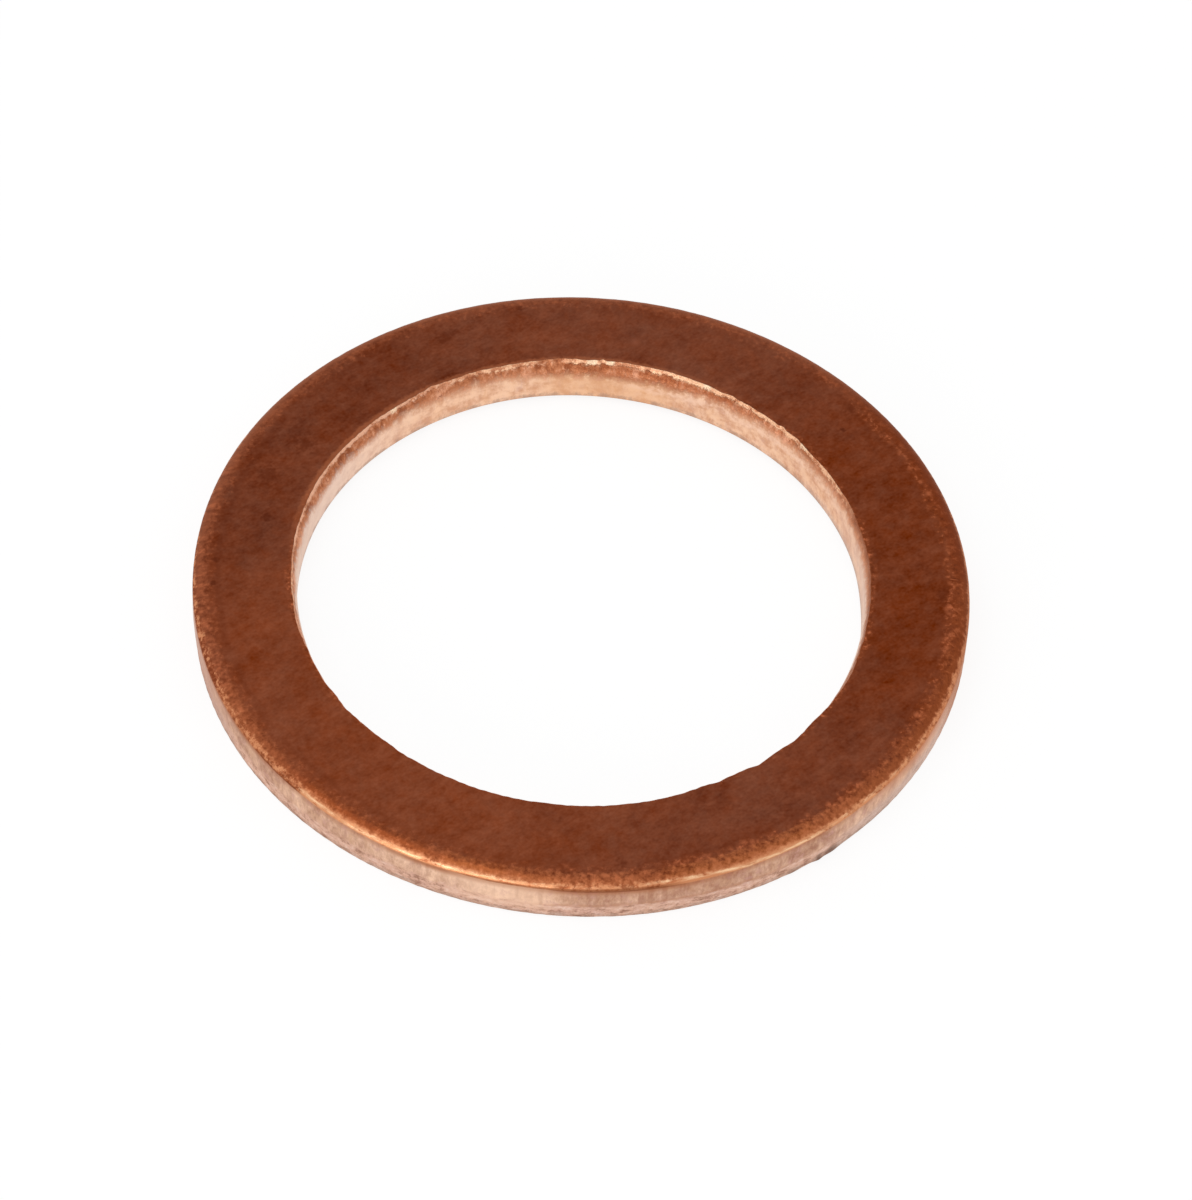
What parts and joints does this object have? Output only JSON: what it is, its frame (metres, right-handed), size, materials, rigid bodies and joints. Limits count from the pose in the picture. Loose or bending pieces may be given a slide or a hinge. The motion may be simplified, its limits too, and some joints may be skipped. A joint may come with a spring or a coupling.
{
  "type": "sump plug washer",
  "caption": "Flat copper sealing washer, stamped in one piece, that is crushed between an oil sump plug's head and the sump to stop leaks.",
  "frame": {"origin": "middle of the bore, on the underside that lies against the sump", "axes": "+Z along the bore's axis, from the sump side towards the plug's head, with the rolled outer edge up; X and Y are free, because the ring is round"},
  "size_m": [0.022, 0.022, 0.0015],
  "materials": {
    "copper": "soft annealed copper: dull, tumbled, brown-tinted faces and paler freshly sheared edges"
  },
  "bodies": {
    "root": {"washer": "copper"}
  },
  "joints": []
}
